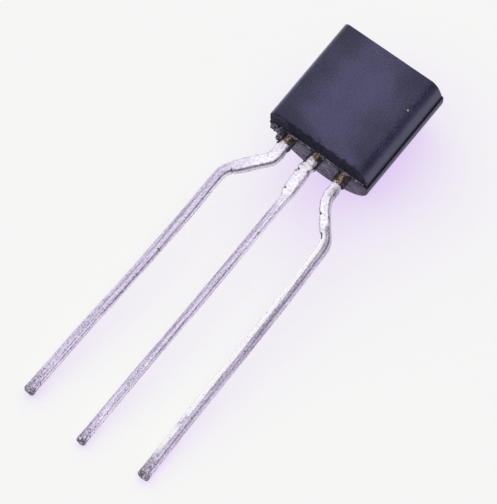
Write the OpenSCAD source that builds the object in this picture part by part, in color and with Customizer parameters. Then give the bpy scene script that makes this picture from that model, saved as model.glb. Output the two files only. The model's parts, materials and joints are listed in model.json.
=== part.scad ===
// Small-signal transistor in a three-lead moulded package with one flat face (TO-92 outline).
// Millimetres. The package lies as it comes to rest: flat face up, on the foot of its round back
// and on the lead tips, with the leads toward -Y. The origin is on the surface it lies on, under
// the middle of the whole part.

/* [Moulded body] */
// width across the round back, the widest place
body_width = 4.65; // [3.8:0.01:5.6]
// height from the lead end to the top, at the parting line
body_height = 4.63; // [3.8:0.01:5.6]
// depth from the flat face back to the parting line
front_depth = 1.12; // [0.9:0.01:1.35]
// straight depth behind the parting line before the round back starts
back_straight = 0.04; // [0.03:0.01:0.3]
// how far each side swells out between the flat face and the parting line
side_bulge = 0.17; // [0.1:0.01:0.3]
// rounding where the flat face meets the sides
side_edge_radius = 0.5; // [0.2:0.01:0.6]
// rounding where the flat face meets the ends
end_edge_radius = 0.15; // [0.05:0.01:0.25]
// mould draft of the front half's two ends, in degrees
front_draft = 2; // [1:0.1:5]
// mould draft of the back half's two ends, in degrees
back_draft = 2; // [1:0.1:5]
// how much smaller the front half is than the back half, each side
mould_step = 0.03; // [0.01:0.01:0.06]
// width of the groove that runs round the front half at the parting line
groove_width = 0.09; // [0.03:0.01:0.12]
// depth of that groove
groove_depth = 0.05; // [0.02:0.01:0.06]
// height of the resin flash left along the parting line at the lead end
flash_height = 0.07; // [0.03:0.01:0.15]
// thickness of that flash
flash_thickness = 0.05; // [0.03:0.01:0.1]
// width of the broken-off gate on the top end
gate_width = 0.7; // [0.4:0.05:1.2]
// thickness of the broken-off gate
gate_thickness = 0.2; // [0.1:0.02:0.4]
// height of the broken-off gate
gate_height = 0.05; // [0.03:0.01:0.1]

/* [Leads outside the body] */
// width of a lead
lead_width = 0.35; // [0.3:0.01:0.48]
// thickness of the lead frame
lead_thickness = 0.36; // [0.28:0.01:0.48]
// distance between neighbouring leads where they leave the body
lead_pitch = 1.27; // [1.05:0.01:1.53]
// length of the middle lead below the body
middle_lead_length = 14; // [11.5:0.1:17]
// length of the two outer leads below the body
outer_lead_length = 13.65; // [11.3:0.05:16.5]
// width of a lead's root, where the dam bar was cut away
root_width = 0.6; // [0.5:0.01:0.74]
// length of the root below the body
root_length = 0.5; // [0.35:0.01:0.6]
// width of a lead's neck, below its root and through an outer lead's bends
neck_width = 0.46; // [0.4:0.01:0.5]
// length of the middle lead's neck below its root
neck_length = 1.6; // [1:0.1:3]
// length over which a neck narrows to the lead's width
taper_length = 0.4; // [0.2:0.05:0.8]
// distance below the body at which the emitter lead starts to bend outward
emitter_bend_start = 0.68; // [0.65:0.01:1]
// distance below the body at which the collector lead starts to bend outward
collector_bend_start = 0.82; // [0.65:0.01:1]
// angle at which the formed part of an outer lead runs outward
bend_angle = 40; // [30:1:50]
// radius of each bend at the middle of the lead
bend_radius = 0.9; // [0.6:0.05:1.1]
// distance from the middle lead to an outer lead just below its bends
formed_pitch = 2.56; // [2.1:0.01:3.2]
// angle at which the outer leads spread below their bends, in degrees
splay_angle = 1.25; // [0:0.05:2]

/* [Lead frame inside the body] */
// width of the paddle that carries the chip
paddle_width = 1.5; // [1.2:0.05:1.8]
// height of the paddle
paddle_height = 1.3; // [1:0.05:1.5]
// height of the paddle's middle above the lead end of the body
paddle_level = 2.75; // [2.6:0.05:2.95]
// height of the arm from the collector lead to the paddle
arm_height = 0.7; // [0.5:0.05:0.9]
// width of a bond post
post_width = 0.8; // [0.65:0.01:0.96]
// height of a bond post
post_height = 0.6; // [0.5:0.01:0.75]
// height of a bond post's foot above the lead end of the body
post_level = 0.85; // [0.6:0.05:1.1]
// diameter of the hole and notches that lock the resin to the frame
lock_diameter = 0.24; // [0.15:0.01:0.3]

/* [Chip and bond wires] */
// side of the square chip
chip_side = 0.5; // [0.4:0.01:0.65]
// thickness of the chip
chip_thickness = 0.2; // [0.15:0.01:0.25]
// thickness of the layer that fixes the chip to the paddle
attach_thickness = 0.03; // [0.02:0.005:0.05]
// how far that layer stands out round the chip
attach_margin = 0.05; // [0.03:0.01:0.08]
// diameter of a bond wire
wire_diameter = 0.04; // [0.03:0.005:0.05]
// diameter of the ball that ends a wire on the chip, and of the foot on its post
ball_diameter = 0.1; // [0.08:0.01:0.13]
// height of that ball
ball_height = 0.025; // [0.015:0.005:0.04]
// distance from the chip's middle to each wire's ball
ball_offset = 0.12; // [0.08:0.01:0.15]
// bend radius of a wire's loop as a share of the distance that it spans
loop_shape = 0.575; // [0.54:0.005:0.7]

/* [Hidden] */
$fn = 96;

resin_black = [0.25, 0.24, 0.32];
tin_grey = [0.78, 0.74, 0.8];
silicon_grey = [0.42, 0.43, 0.48];
silver_paste = [0.7, 0.69, 0.66];
bond_gold = [0.85, 0.7, 0.35];

// a cutter reaches this far past what it cuts
past = 0.5;
// a straight part of a lead runs this far into the bend that it meets, so that they are one
lap = 0.01;
lead_end = -body_height / 2;

// front half
front_half_width = body_width / 2 - mould_step;
front_half_height = body_height / 2 - mould_step;
side_radius = (front_depth * front_depth + side_bulge * side_bulge) / (2 * side_bulge);
side_centre = front_half_width - side_radius;
// middle of the round edge between the flat face and a side
edge_reach = side_radius - side_edge_radius;
edge_y = side_edge_radius - front_depth;
// a round edge is drawn this much full and trimmed to the sharp form, so that it meets the faces
round_fullness = 1.002;
edge_x = side_centre + sqrt(edge_reach * edge_reach - edge_y * edge_y);
// where that round edge runs out on the side
side_end_x = side_centre + (edge_x - side_centre) * side_radius / edge_reach;
side_end_y = edge_y * side_radius / edge_reach;
// the round edge between the flat face and an end
face_half_height = front_half_height - front_depth * tan(front_draft);
end_edge_run = end_edge_radius / tan((90 + front_draft) / 2);

// back half
back_radius = body_width / 2;
back_depth = back_straight + back_radius;

// formed outer leads
bend_shift = bend_radius * (1 - cos(bend_angle)) + bend_radius * (cos(splay_angle) - cos(bend_angle));
slant_length = (formed_pitch - lead_pitch - bend_shift) / sin(bend_angle);
bend_drop = bend_radius * (2 * sin(bend_angle) - sin(splay_angle)) + slant_length * cos(bend_angle);

// lying at rest: tilt from the foot of the round back down to the middle lead's tip, and the
// slight roll that brings the shorter collector lead's tip down too
foot_level = lead_end + back_depth * tan(back_draft);
foot_to_tip = foot_level - lead_end + middle_lead_length;
level_tilt = atan((back_depth - lead_thickness) / foot_to_tip);
tip_spread = formed_pitch + (outer_lead_length - collector_bend_start - bend_drop) * tan(splay_angle);
rest_roll = asin((middle_lead_length - outer_lead_length) * sin(level_tilt) / (tip_spread + lead_width / 2));
rest_tilt = atan((back_depth - lead_thickness - lead_width / 2 * sin(rest_roll)) / foot_to_tip);
rest_lift = back_depth * cos(rest_tilt) - foot_level * sin(rest_tilt);
top_reach = back_depth * sin(rest_tilt) + (body_height / 2 - back_depth * tan(back_draft)) * cos(rest_tilt);
tip_reach = (lead_end - middle_lead_length) * cos(rest_tilt);
rest_shift = -(top_reach + tip_reach) / 2;

// chip and wires, in the lead frame's own plane: x across, y up the body, z toward the flat face
paddle_y = lead_end + paddle_level;
post_y = lead_end + post_level + post_height / 2;
chip_top = attach_thickness + chip_thickness;
emitter_ball = [-ball_offset, paddle_y + ball_offset / 2, chip_top];
base_ball = [ball_offset, paddle_y - ball_offset, chip_top];
emitter_foot = [-lead_pitch, post_y, 0];
base_foot = [0, post_y, 0];
// a wire's ends run this many degrees past its landing before they are trimmed flush
wire_sink = 4;

// places a piece drawn upright, flat face toward -Y, in its pose at rest
module at_rest() {
    translate([0, rest_shift, rest_lift])
    rotate([rest_tilt - 90, 0, 0])
    translate([0, back_straight, 0])
    rotate([0, 0, rest_roll])
    translate([0, -back_straight, 0])
        children();
}

// stands the lead frame's plane upright on the parting line, its front toward the flat face
module in_frame_plane() {
    rotate([90, 0, 0]) children();
}

// ---- moulded body ----

// cross-section of the front half with sharp edges: flat face and two swelling sides
module sharp_section() {
    intersection() {
        translate([side_centre, 0]) circle(r = side_radius, $fn = 240);
        translate([-side_centre, 0]) circle(r = side_radius, $fn = 240);
        translate([-body_width, -front_depth]) square([2 * body_width, front_depth]);
    }
}

// the same section with its two front edges rounded
module front_section() {
    intersection() {
        sharp_section();
        union() {
            difference() {
                sharp_section();
                for (side = [-1, 1])
                    polygon([[side * edge_x, -front_depth], [side * side_end_x, side_end_y],
                             [side * body_width, side_end_y],
                             [side * body_width, -front_depth - past],
                             [side * edge_x, -front_depth - past]]);
            }
            for (side = [-1, 1])
                translate([side * edge_x, edge_y]) circle(r = side_edge_radius * round_fullness);
        }
    }
}

// profile of the front half seen from the side, with sharp edges and drafted ends
module sharp_profile() {
    polygon([[-front_depth, face_half_height], [0, front_half_height],
             [0, -front_half_height], [-front_depth, -face_half_height]]);
}

// the same profile with its two front edges rounded
module front_profile() {
    edge_level = face_half_height - end_edge_run;
    draft_x = -front_depth + end_edge_run * cos(front_draft);
    draft_y = face_half_height + end_edge_run * sin(front_draft);
    intersection() {
        sharp_profile();
        union() {
            polygon([[-front_depth, edge_level], [draft_x, draft_y], [0, front_half_height],
                     [0, -front_half_height], [draft_x, -draft_y], [-front_depth, -edge_level]]);
            for (end = [-1, 1])
                translate([end_edge_radius - front_depth, end * edge_level])
                    circle(r = end_edge_radius * round_fullness);
        }
    }
}

// sweeps a side profile, drawn as depth and height, across the body
module across() {
    rotate([90, 0, 90]) translate([0, 0, -body_width]) linear_extrude(2 * body_width) children();
}

module front_half() {
    intersection() {
        translate([0, 0, lead_end]) linear_extrude(body_height) front_section();
        across() front_profile();
    }
}

// the groove at the parting line: what is left inside it
module groove_core() {
    core_half = front_half_height - groove_depth;
    translate([groove_depth - front_half_width, -groove_width, -core_half])
        cube([2 * (front_half_width - groove_depth), groove_width, 2 * core_half]);
}

module groove_band() {
    translate([-body_width, -groove_width, -body_height])
        cube([2 * body_width, groove_width, 2 * body_height]);
}

module back_half() {
    back_end = back_depth + past;
    end_height = body_height / 2 - back_end * tan(back_draft);
    intersection() {
        translate([0, 0, lead_end]) linear_extrude(body_height) {
            intersection() {
                translate([0, back_straight]) circle(r = back_radius, $fn = 180);
                translate([-body_width, 0]) square([2 * body_width, 2 * body_width]);
            }
            translate([-back_radius, 0]) square([2 * back_radius, back_straight]);
        }
        across() polygon([[0, body_height / 2], [back_end, end_height],
                          [back_end, -end_height], [0, lead_end]]);
    }
}

// thin resin flash along the parting line at the lead end
module flash() {
    flash_half = front_half_width - 2 * groove_depth - flash_thickness;
    translate([-flash_half, -flash_thickness, lead_end - flash_height])
        cube([2 * flash_half, flash_thickness, flash_height + 2 * mould_step + groove_depth]);
}

// stub of the gate through which the resin came in, on the top end
module gate() {
    translate([-gate_width / 2, 0, body_height / 2 - mould_step])
        cube([gate_width, gate_thickness, mould_step + gate_height]);
}

module body() {
    color(resin_black)
    difference() {
        union() {
            difference() {
                front_half();
                groove_band();
            }
            groove_core();
            back_half();
            flash();
            gate();
        }
        in_frame_plane() {
            emitter_lead_flat();
            base_lead_flat();
            collector_lead_flat();
            chip_attach_flat();
            chip_flat();
            emitter_wire_flat();
            base_wire_flat();
        }
    }
}

// ---- leads, drawn in the lead frame's plane, front face at z = 0 ----

// a flat strip of the lead frame from y = low to y = high, centred on x = 0
module strip(width, low, high) {
    translate([-width / 2, low, -lead_thickness]) cube([width, high - low, lead_thickness]);
}

// the root outside the body and the shank inside it, up to a given level
module root_and_shank(top) {
    difference() {
        strip(root_width, lead_end - root_length, top);
        for (side = [-1, 1])
            translate([side * root_width / 2, lead_end + post_level / 2, -lead_thickness - past])
                cylinder(d = lock_diameter, h = lead_thickness + 2 * past);
    }
}

// the end of a neck, narrowing downward from y = high to the lead's width
module taper(high) {
    translate([0, 0, -lead_thickness])
        linear_extrude(lead_thickness)
            polygon([[-neck_width / 2, high + lap], [neck_width / 2, high + lap],
                     [neck_width / 2, high], [lead_width / 2, high - taper_length],
                     [-lead_width / 2, high - taper_length], [-neck_width / 2, high]]);
}

module bond_post() {
    strip(post_width, lead_end + post_level, lead_end + post_level + post_height);
}

// a bend of the neck: the strip swept round an arc about z, from angle first through angle sweep
module bend(first, sweep) {
    translate([0, 0, -lead_thickness])
        rotate([0, 0, first])
            rotate_extrude(angle = sweep)
                translate([bend_radius - neck_width / 2, 0]) square([neck_width, lead_thickness]);
}

// the formed part of an outer lead, bending toward +x, for a lead centred on x = 0
module formed_lead(start) {
    start_y = lead_end - start;
    slant_x = bend_radius * (1 - cos(bend_angle));
    slant_y = start_y - bend_radius * sin(bend_angle);
    second_x = slant_x + slant_length * sin(bend_angle) - bend_radius * cos(bend_angle);
    second_y = slant_y - slant_length * cos(bend_angle) - bend_radius * sin(bend_angle);
    straight = (outer_lead_length - start - bend_drop) / cos(splay_angle);
    strip(neck_width, start_y - lap, lead_end - root_length);
    translate([bend_radius, start_y, 0]) bend(180, bend_angle);
    translate([slant_x, slant_y, 0])
        rotate([0, 0, bend_angle]) strip(neck_width, -slant_length - lap, lap);
    translate([second_x, second_y, 0]) {
        bend(splay_angle, bend_angle - splay_angle);
        rotate([0, 0, splay_angle])
            translate([bend_radius, 0, 0]) {
                taper(0);
                strip(lead_width, -straight, -taper_length);
            }
    }
}

module emitter_lead_flat() {
    translate([-lead_pitch, 0, 0]) {
        root_and_shank(lead_end + post_level + post_height / 2);
        bond_post();
        mirror([1, 0, 0]) formed_lead(emitter_bend_start);
    }
}

module base_lead_flat() {
    root_and_shank(lead_end + post_level + post_height / 2);
    bond_post();
    neck_end = lead_end - root_length - neck_length;
    strip(neck_width, neck_end, lead_end - root_length);
    taper(neck_end);
    strip(lead_width, lead_end - middle_lead_length, neck_end - taper_length);
}

module collector_lead_flat() {
    arm_end = lead_pitch + root_width / 2;
    difference() {
        union() {
            translate([lead_pitch, 0, 0]) root_and_shank(paddle_y);
            translate([0, paddle_y - arm_height / 2, -lead_thickness])
                cube([arm_end, arm_height, lead_thickness]);
            strip(paddle_width, paddle_y - paddle_height / 2, paddle_y + paddle_height / 2);
        }
        translate([lead_pitch, paddle_y, -lead_thickness - past])
            cylinder(d = lock_diameter, h = lead_thickness + 2 * past);
    }
    translate([lead_pitch, 0, 0]) formed_lead(collector_bend_start);
}

module emitter_lead() {
    color(tin_grey) in_frame_plane() emitter_lead_flat();
}

module base_lead() {
    color(tin_grey) in_frame_plane() base_lead_flat();
}

module collector_lead() {
    color(tin_grey) in_frame_plane() collector_lead_flat();
}

// ---- chip, its fixing layer and the bond wires ----

module chip_attach_flat() {
    side = chip_side + 2 * attach_margin;
    translate([-side / 2, paddle_y - side / 2, 0]) cube([side, side, attach_thickness]);
}

module chip_flat() {
    translate([-chip_side / 2, paddle_y - chip_side / 2, attach_thickness])
        cube([chip_side, chip_side, chip_thickness]);
}

// a looped wire from a ball on the chip to a foot on a bond post
module wire_loop(ball, foot) {
    across_x = foot[0] - ball[0];
    across_y = foot[1] - ball[1];
    drop = foot[2] - ball[2];
    run = sqrt(across_x * across_x + across_y * across_y);
    span = sqrt(run * run + drop * drop);
    radius = loop_shape * span;
    inset = sqrt(radius * radius - span * span / 4);
    centre_x = run / 2 + drop * inset / span;
    centre_y = drop / 2 - run * inset / span;
    ball_angle = atan2(-centre_y, -centre_x);
    foot_angle = atan2(drop - centre_y, run - centre_x);
    translate(ball)
        rotate([0, 0, atan2(across_y, across_x)])
            rotate([90, 0, 0])
                translate([centre_x, centre_y, 0])
                    rotate([0, 0, foot_angle - wire_sink])
                        rotate_extrude(angle = ball_angle - foot_angle + 2 * wire_sink)
                            translate([radius, 0]) circle(d = wire_diameter, $fn = 24);
    translate(ball) cylinder(d = ball_diameter, h = ball_height, $fn = 32);
    translate(foot) cylinder(d = ball_diameter, h = wire_diameter / 2, $fn = 32);
}

module emitter_wire_flat() {
    difference() {
        wire_loop(emitter_ball, emitter_foot);
        chip_flat();
        translate([-lead_pitch, 0, 0]) bond_post();
    }
}

module base_wire_flat() {
    difference() {
        wire_loop(base_ball, base_foot);
        chip_flat();
        bond_post();
    }
}

module chip() {
    color(silicon_grey) in_frame_plane() chip_flat();
}

module chip_attach() {
    color(silver_paste) in_frame_plane() chip_attach_flat();
}

module emitter_wire() {
    color(bond_gold) in_frame_plane() emitter_wire_flat();
}

module base_wire() {
    color(bond_gold) in_frame_plane() base_wire_flat();
}

at_rest() body();
at_rest() emitter_lead();
at_rest() base_lead();
at_rest() collector_lead();
at_rest() chip();
at_rest() chip_attach();
at_rest() emitter_wire();
at_rest() base_wire();
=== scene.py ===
import json
import math

import bmesh
import bpy
from mathutils import Matrix, Vector, noise


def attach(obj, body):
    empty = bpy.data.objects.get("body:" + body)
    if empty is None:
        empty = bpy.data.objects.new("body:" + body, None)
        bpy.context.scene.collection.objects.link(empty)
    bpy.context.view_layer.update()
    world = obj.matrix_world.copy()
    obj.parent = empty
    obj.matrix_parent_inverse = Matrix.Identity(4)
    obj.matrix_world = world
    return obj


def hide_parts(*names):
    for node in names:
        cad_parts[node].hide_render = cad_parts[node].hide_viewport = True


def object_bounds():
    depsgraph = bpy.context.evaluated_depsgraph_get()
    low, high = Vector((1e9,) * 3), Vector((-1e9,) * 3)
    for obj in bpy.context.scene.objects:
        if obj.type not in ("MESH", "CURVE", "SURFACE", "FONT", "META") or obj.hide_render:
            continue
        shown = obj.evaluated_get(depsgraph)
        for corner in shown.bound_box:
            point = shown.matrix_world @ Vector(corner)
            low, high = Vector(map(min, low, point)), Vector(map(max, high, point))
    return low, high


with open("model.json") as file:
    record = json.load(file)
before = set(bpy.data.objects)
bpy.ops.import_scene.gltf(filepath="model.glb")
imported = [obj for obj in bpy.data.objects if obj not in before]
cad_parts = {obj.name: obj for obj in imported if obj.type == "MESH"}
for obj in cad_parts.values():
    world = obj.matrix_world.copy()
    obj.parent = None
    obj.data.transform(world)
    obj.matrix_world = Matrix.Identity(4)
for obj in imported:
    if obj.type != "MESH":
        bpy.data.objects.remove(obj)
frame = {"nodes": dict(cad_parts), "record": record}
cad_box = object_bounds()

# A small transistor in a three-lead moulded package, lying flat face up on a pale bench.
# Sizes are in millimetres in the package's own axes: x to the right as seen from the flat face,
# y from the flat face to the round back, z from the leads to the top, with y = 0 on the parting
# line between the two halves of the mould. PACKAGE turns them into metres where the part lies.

MM = 0.001

# moulded body
BODY_WIDTH = 4.65
BODY_HEIGHT = 4.63
BODY_SWELL = 0.04  # how much wider it is cast than its nominal width
FRONT_DEPTH = 1.12
BACK_STRAIGHT = 0.04
SIDE_BULGE = 0.17
SIDE_EDGE_RADIUS = 0.5
END_EDGE_RADIUS = 0.08
CORNER_RADIUS = 0.02
DRAFT = math.radians(2)
MOULD_STEP = 0.03
GROOVE_WIDTH = 0.09
GROOVE_DEPTH = 0.05
LIP_RADIUS = 0.012
LEAD_END = -BODY_HEIGHT / 2  # the end face that the leads come out of
END_FINISH_REACH = 0.16  # how far up the end's rough finish can reach; on the front half it is near black, a painted shade
END_FINISH_SLOPE = 0.93  # and how squarely a face must look down to have it

# resin flash and the broken gate
FLASH_HEIGHT = 0.105
FLASH_THICKNESS = 0.05
FLASH_SINK = 0.06  # how far the flash starts inside the body
GATE_WIDTH = 0.7
GATE_THICKNESS = 0.2
GATE_HEIGHT = 0.03
GATE_SINK = 0.02
GATE_SKIRT = 0.06  # how deep the gate's sides go into the top end

# leads
LEAD_THICKNESS = 0.36
LEAD_EDGE_RADIUS = 0.08
LEAD_PITCH = 1.27
MIDDLE_LEAD_LENGTH = 14.0
OUTER_LEAD_LENGTH = 13.65
ROOT_WIDTH = 0.6
ROOT_LENGTH = 0.5
TAPER_LENGTH = 0.4
BEND_ANGLE = math.radians(40)
BEND_RADIUS = 0.9
FORMED_PITCH = 2.56
SPLAY = math.radians(1.25)
PLATING_WAVER = 0.03  # how uneven the plating is
NICK_DEPTH = 0.06
TIP_BURR = 0.09  # how far the torn burr stands past the cut
TIP_LIFT = 0.02  # keeps the torn tips clear of the table
INNER_START = 0.08  # where the swept lead starts, inside the body
INNER_CUT = 0.06  # where the inner part is cut, a little lower, so that they overlap
WELD = 0.0005  # points nearer than this are one point

# how finely the pieces are divided
ARC_STEPS = 5
SIDE_STEPS = 14
END_STEPS = 16
TURN_STEPS = 72
EDGE_STEPS = 18
WALL_STEPS = 6
LIP_STEPS = 3
BEND_STEPS = 10
LEAD_STEP = 0.045
LEAD_CORNER_STEPS = 7
LEAD_RING = 44
FLASH_STEPS = 300
FLASH_RING = 16
COLUMN = 2 * (ARC_STEPS + 1) + SIDE_STEPS - 1


# ---- where the part lies ----

def mount(name):
    return next(m for m in frame["record"]["mounts"] if m["name"] == name)


def package_axes():
    """The package's own axes where it lies, from its flat face and the middle lead's tip."""
    face = mount("flat_face")
    back = -Vector(face["axis"]).normalized()
    top = -Vector(mount("base_lead_tip")["axis"]).normalized()
    right = back.cross(top).normalized()
    top = right.cross(back)
    middle = Vector(face["pos_m"]) + back * FRONT_DEPTH * MM
    turn = Matrix((right, back, top)).transposed().to_4x4()
    return Matrix.Translation(middle) @ turn @ Matrix.Scale(MM, 4)


PACKAGE = package_axes()


def new_object(name, data):
    made = bpy.data.objects.new(name, data)
    bpy.context.scene.collection.objects.link(made)
    return made


def finish_piece(name, mesh, node, sharp):
    """Puts a mesh drawn in package millimetres where the part lies, in place of a CAD node."""
    mesh.transform(PACKAGE)
    shell = bmesh.new()
    shell.from_mesh(mesh)
    bmesh.ops.recalc_face_normals(shell, faces=shell.faces)
    shell.to_mesh(mesh)
    shell.free()
    for face in mesh.polygons:
        face.use_smooth = True
    mesh.set_sharp_from_angle(angle=math.radians(sharp))
    piece = new_object(name, mesh)
    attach(piece, "root")
    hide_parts(node)


def plain_mesh(name, shell):
    """The mesh of a finished shell."""
    mesh = bpy.data.meshes.new(name)
    shell.to_mesh(mesh)
    shell.free()
    return mesh


# ---- building node trees ----

class Net:
    """Short ways to add and join nodes in one shader or geometry tree."""

    def __init__(self, tree, family):
        self.tree, self.family = tree, family

    def add(self, kind, *inputs, out=0, **settings):
        """Adds a node; gives one of its outputs, or the node itself if out is None."""
        node = self.tree.nodes.new(kind if "Node" in kind else self.family + kind)
        for key, value in settings.items():
            if hasattr(node, key) and key not in node.inputs:
                setattr(node, key, value)
            else:
                self.feed(node.inputs[key], value)
        for place_in, value in enumerate(inputs):
            if value is not None:
                self.feed(node.inputs[place_in], value)
        return node if out is None else node.outputs[out]

    def feed(self, socket, value):
        """Joins an output to a socket, or sets the socket to a plain value."""
        if isinstance(value, bpy.types.NodeSocket):
            self.tree.links.new(value, socket)
        else:
            socket.default_value = value

    # numbers

    def math(self, operation, a, b=None, clamp=False):
        return self.add("ShaderNodeMath", a, b, operation=operation, use_clamp=clamp)

    def plus(self, first, *others):
        for other in others:
            first = self.math("ADD", first, other)
        return first

    def times(self, first, *others):
        for other in others:
            first = self.math("MULTIPLY", first, other)
        return first

    def minus(self, a, b):
        return self.math("SUBTRACT", a, b)

    def most(self, a, b):
        return self.math("MAXIMUM", a, b)

    def rest(self, share):
        """What is left of 1 without a share."""
        return self.minus(1.0, share)

    def gap(self, a, b=None):
        """How far a is from b, or from 0."""
        return self.math("ABSOLUTE", a if b is None else self.minus(a, b))

    def toward(self, a, b, share):
        """The value a, drawn toward b by a share."""
        return self.plus(a, self.times(share, self.minus(b, a)))

    def swing(self, uneven, amount):
        """A noise between 0 and 1 made to swing about 0."""
        return self.times(self.minus(uneven, 0.5), amount)

    def ramp(self, value, low, high, at_low=0.0, at_high=1.0):
        """at_low below low, at_high above high, and a smooth change between them."""
        return self.add("ShaderNodeMapRange", value, low, high, at_low, at_high,
                        interpolation_type="SMOOTHSTEP")

    def fall(self, value, low, high):
        """1 below low, 0 above high."""
        return self.ramp(value, low, high, 1.0, 0.0)

    def span(self, value, start, full, fading, end):
        """1 from full to fading, 0 before start and after end."""
        return self.times(self.ramp(value, start, full), self.fall(value, fading, end))

    # vectors and places

    def vector(self, operation, a, b=None, out=0):
        return self.add("ShaderNodeVectorMath", a, b, operation=operation, out=out)

    def scaled(self, a, factor):
        return self.add("ShaderNodeVectorMath", a, operation="SCALE", Scale=factor)

    def xyz(self, x=0.0, y=0.0, z=0.0):
        return self.add("ShaderNodeCombineXYZ", x, y, z)

    def parts(self, vector):
        return self.add("ShaderNodeSeparateXYZ", vector, out=None).outputs

    def noise(self, where, scale, detail=2.0, roughness=0.5, out=0):
        return self.add(
            "ShaderNodeTexNoise", where, out=out, Scale=scale, Detail=detail, Roughness=roughness)

    def shake(self, where, scale, amount):
        """An uneven push in all directions, about amount / 2 at most."""
        push = self.noise(where, scale, out="Color")
        return self.scaled(self.vector("SUBTRACT", push, self.xyz(0.5, 0.5, 0.5)), amount)

    # curves

    def captured(self, shape, *facts):
        """The shape, where its points are now, and other facts about them, as (kind, value)."""
        node = self.add("CaptureAttribute", shape, out=None, domain="POINT")
        facts = ("VECTOR", self.add("InputPosition")), *facts
        for place_in, (kind, value) in enumerate(facts, 1):
            node.capture_items.new(kind, kind)
            self.feed(node.inputs[place_in], value)
        return list(node.outputs)[:len(facts) + 1]

    def swept(self, path, section):
        """The section swept along the path, with closed ends."""
        return self.add("CurveToMesh", path, section, **{"Fill Caps": True})

    def chance(self, low, high, seed):
        """A random number for each point."""
        return self.add("FunctionNodeRandomValue", None, None, low, high, *[None] * 4, seed,
                        out=1, data_type="FLOAT")

    # colours

    def mix(self, share, a, b):
        """Colour a, with its share of colour b."""
        colours = [(*c, 1) if isinstance(c, tuple) else c for c in (a, b)]
        return self.add("ShaderNodeMix", share, *[None] * 5, *colours, out=2, data_type="RGBA")

    def shades(self, value, low, high, a, b):
        """Colour a where the value is low, colour b where it is high."""
        return self.mix(self.ramp(value, low, high), a, b)


def geometry_tree(name, sizes):
    """A geometry tree with one named number input for each size, and a material input."""
    tree = bpy.data.node_groups.new(name, "GeometryNodeTree")
    face = tree.interface
    face.new_socket(name="Geometry", in_out="OUTPUT", socket_type="NodeSocketGeometry")
    for size in sizes:
        face.new_socket(name=size, in_out="INPUT", socket_type="NodeSocketFloat")
    face.new_socket(name="Material", in_out="INPUT", socket_type="NodeSocketMaterial")
    given = tree.nodes.new("NodeGroupInput").outputs
    return Net(tree, "GeometryNode"), given


def close_tree(net, shape, given):
    """Ends a geometry tree: instances are made real and the material is set."""
    real = net.add("RealizeInstances", shape)
    coloured = net.add("SetMaterial", real, Material=given["Material"])
    net.add("NodeGroupOutput", coloured, out=None)


def grow(tree, sizes, material):
    """Runs a geometry tree with the given sizes and returns its plain mesh."""
    holder = new_object("holder", bpy.data.meshes.new("holder"))
    growth = holder.modifiers.new("growth", "NODES")
    growth.node_group = tree
    for socket in tree.interface.items_tree:
        if socket.item_type == "SOCKET" and socket.in_out == "INPUT":
            is_material = socket.name == "Material"
            growth[socket.identifier] = material if is_material else float(sizes[socket.name])
    shown = holder.evaluated_get(bpy.context.evaluated_depsgraph_get())
    mesh = bpy.data.meshes.new_from_object(shown)
    holder.modifiers.clear()
    bpy.data.objects.remove(holder)
    return mesh


# ---- finishes ----

def new_material(name):
    material = bpy.data.materials.new(name)
    material.use_nodes = True
    material.node_tree.nodes.clear()
    return material, Net(material.node_tree, "ShaderNode")


def new_finish(name):
    """A new material, its net, and the place on the part in package millimetres."""
    material, net = new_material(name)
    back = PACKAGE.inverted()
    where = net.add("TexCoord", out="Object")
    where = net.add("Mapping", where, vector_type="POINT", Location=back.to_translation(),
                    Rotation=back.to_quaternion().to_euler(), Scale=back.to_scale())
    return material, net, where


def close_finish(net, colour, rough, height, strength, depth, **others):
    """Ends a finish with its shader; depth is that of its relief, in millimetres."""
    relief = net.add("Bump", Strength=strength, Distance=depth * MM, Height=height)
    sockets = {"Base Color": colour, "Roughness": rough, "Normal": relief}
    shader = net.add("BsdfPrincipled", **sockets, **others)
    net.add("OutputMaterial", shader, out=None)


SHINE = "Specular IOR Level"
RESIN_COLOURS = (0.011, 0.009, 0.036), (0.062, 0.056, 0.142)
FLECK = (1.973, -FRONT_DEPTH + 0.03, 0.777)
FLECK_WHITE = (0.7, 0.7, 0.66)
STRIP_SHADE = (0.002, 0.002, 0.004), (0.014, 0.013, 0.026)
EDGE_HIGHLIGHT = (0.36, 0.35, 0.45)


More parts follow.
